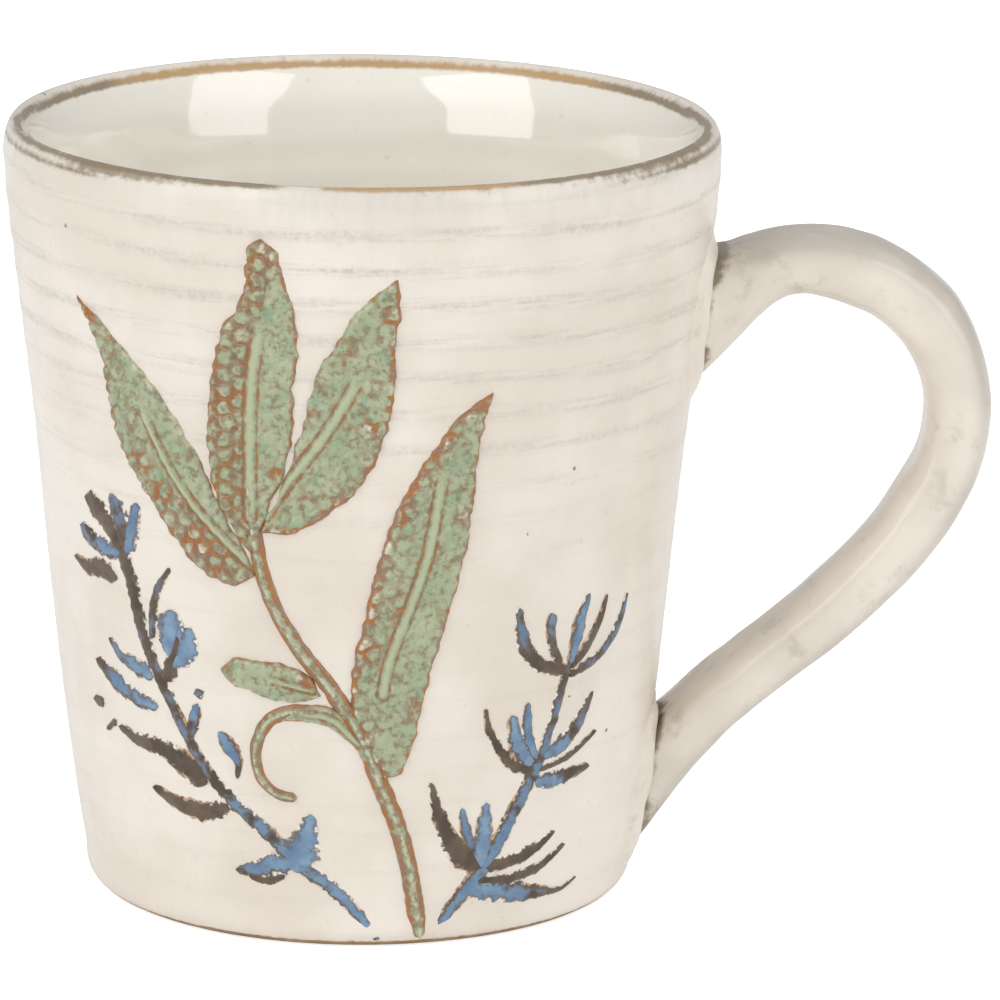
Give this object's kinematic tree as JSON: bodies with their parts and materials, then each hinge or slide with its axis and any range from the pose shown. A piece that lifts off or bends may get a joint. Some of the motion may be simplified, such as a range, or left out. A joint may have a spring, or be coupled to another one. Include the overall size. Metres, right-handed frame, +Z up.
{
  "type": "stoneware mug",
  "caption": "Hand-thrown stoneware mug with flared wall, pulled strap handle, raised sage spray and blue brushed sprigs on cream glaze.",
  "frame": {"origin": "middle of the foot, on the plane that the mug stands on", "axes": "+Z up along the throwing axis, +X from the axis out through the handle, -Y out through the decorated front"},
  "size_m": [0.1278, 0.0922, 0.1008],
  "materials": {
    "cream_glaze": "glossy",
    "bare_clay": "matte",
    "sage_glaze": "glossy",
    "blue_slip": "satin"
  },
  "bodies": {
    "root": {"cup_body": "cream_glaze", "handle": "cream_glaze", "left_sprig_bud": "blue_slip", "left_sprig_floret": "blue_slip", "left_sprig_inner_leaves": "blue_slip", "left_sprig_outer_leaves": "blue_slip", "left_sprig_stem": "blue_slip", "lower_handle_slip": "cream_glaze", "right_sprig_low_whorl": "blue_slip", "right_sprig_middle_whorl": "blue_slip", "right_sprig_stem": "blue_slip", "right_sprig_top_whorl": "blue_slip", "sage_leaf_centre": "sage_glaze", "sage_leaf_curled": "sage_glaze", "sage_leaf_left": "sage_glaze", "sage_leaf_low": "sage_glaze", "sage_leaf_right": "sage_glaze", "sage_leaf_tall": "sage_glaze", "sage_stem": "sage_glaze", "upper_handle_slip": "cream_glaze"}
  },
  "joints": []
}
